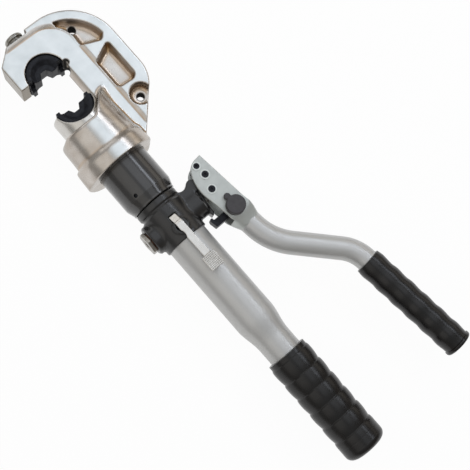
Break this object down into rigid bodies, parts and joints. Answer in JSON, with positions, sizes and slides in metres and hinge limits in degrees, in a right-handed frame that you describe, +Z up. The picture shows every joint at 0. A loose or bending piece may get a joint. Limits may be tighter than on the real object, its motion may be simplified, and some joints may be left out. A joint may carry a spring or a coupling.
{
  "type": "hydraulic crimping tool",
  "caption": "Hand-pumped hydraulic crimper: open C-shaped head with hexagonal dies on a swivelling barrel, black pump body, silver fixed handle and bent pump handle with rubber grips.",
  "frame": {"origin": "centre of the fixed die's closing face, on the ram's axis", "axes": "+Y along the ram and barrel towards the top of the jaw, +X towards the moving handle, +Z up along the handle's pivot pin, with the tool lying on its side"},
  "size_m": [0.1902, 0.5208, 0.081],
  "materials": {
    "forged_steel": "nickel-plated forging, polished",
    "bright_steel": "polished steel",
    "black_oxide": "black oxide on machined steel",
    "black_paint": "satin black paint on steel and cast iron",
    "silver_paint": "silver-grey metallic paint",
    "grey_paint": "light grey paint",
    "black_rubber": "moulded grip rubber",
    "seal_rubber": "nitrile rubber",
    "spring_steel": "drawn spring wire",
    "charcoal_plastic": "moulded charcoal plastic",
    "copper": "soft copper washer",
    "guide_plastic": "filled nylon guide ring"
  },
  "bodies": {
    "pump": {"pump_body": "black_paint", "swivel_seal": "seal_rubber", "hex_plug": "black_oxide", "plug_washer": "copper", "check_ball": "bright_steel", "check_spring": "spring_steel", "plunger_seal": "seal_rubber", "gland_nut": "black_oxide", "lever_pin": "black_oxide", "release_spring": "spring_steel", "reservoir_tube": "silver_paint", "oil_bladder": "seal_rubber", "bladder_clamp": "spring_steel", "tube_cap": "black_oxide", "fixed_grip": "black_rubber"},
    "head": {"c_head": "forged_steel", "barrel": "black_paint", "swivel_screws": "black_oxide", "fixed_die": "black_oxide", "button_bush": "black_oxide", "button_spring": "spring_steel", "rod_wiper": "seal_rubber", "spring_bottom_plug": "black_oxide", "return_spring": "spring_steel"},
    "ram": {"ram": "bright_steel", "moving_die": "black_oxide", "die_dowel": "bright_steel", "piston_seal": "seal_rubber", "wear_ring": "guide_plastic", "spring_top_plug": "black_oxide"},
    "button": {"die_button": "black_oxide"},
    "handle": {"handle_fork": "grey_paint", "handle_tube": "silver_paint", "moving_grip": "black_rubber", "pivot_pin": "black_oxide", "plunger_pin": "black_oxide", "stop_pin": "black_oxide", "pin_rings": "bright_steel"},
    "plunger": {"plunger": "bright_steel"},
    "lever": {"release_lever": "bright_steel"},
    "stem": {"release_stem": "black_oxide"},
    "lock": {"lock_knob": "charcoal_plastic", "lock_hook": "black_paint", "lock_clip": "bright_steel"}
  },
  "joints": [
    {"name": "head_swivel", "type": "hinge", "parent": "pump", "child": "head", "pos_m": [0, -0.1603, 0], "axis": [0, 1, 0], "range_deg": [-90, 90]},
    {"name": "ram_slide", "type": "slide", "parent": "head", "child": "ram", "axis": [0, 1, 0], "range_m": [0, 0.0392], "stiffness_N_per_m": 1500, "springref_m": -0.03, "deforming": ["return_spring"]},
    {"name": "die_button_pull", "type": "slide", "parent": "head", "child": "button", "axis": [0, 1, 0], "range_m": [0, 0.004], "stiffness_N_per_m": 800, "springref_m": -0.003, "deforming": ["button_spring"]},
    {"name": "handle_pump", "type": "hinge", "parent": "pump", "child": "handle", "pos_m": [0.0515, -0.172, 0], "axis": [0, 0, 1], "range_deg": [-5, 42]},
    {"name": "plunger_slide", "type": "slide", "parent": "pump", "child": "plunger", "axis": [1, 0, 0], "range_m": [-0.0016, 0.0113]},
    {"name": "release_lever_press", "type": "hinge", "parent": "pump", "child": "lever", "pos_m": [0, -0.1849, 0.0186], "axis": [1, 0, 0], "range_deg": [0, 6], "stiffness_Nm_per_rad": 1.5, "springref_deg": -5.73},
    {"name": "release_stem_push", "type": "slide", "parent": "pump", "child": "stem", "axis": [0, 0, -1], "range_m": [0, 0.0012], "deforming": ["release_spring"]},
    {"name": "lock_turn", "type": "hinge", "parent": "handle", "child": "lock", "pos_m": [0.05339, -0.21355, 0], "axis": [0, 0, 1], "range_deg": [-6, 10]}
  ],
  "couplings": [
    {"joint": "plunger_slide", "follows": "handle_pump", "m_per_rad": 0.0152},
    {"joint": "release_stem_push", "follows": "release_lever_press", "m_per_rad": 0.0109}
  ]
}
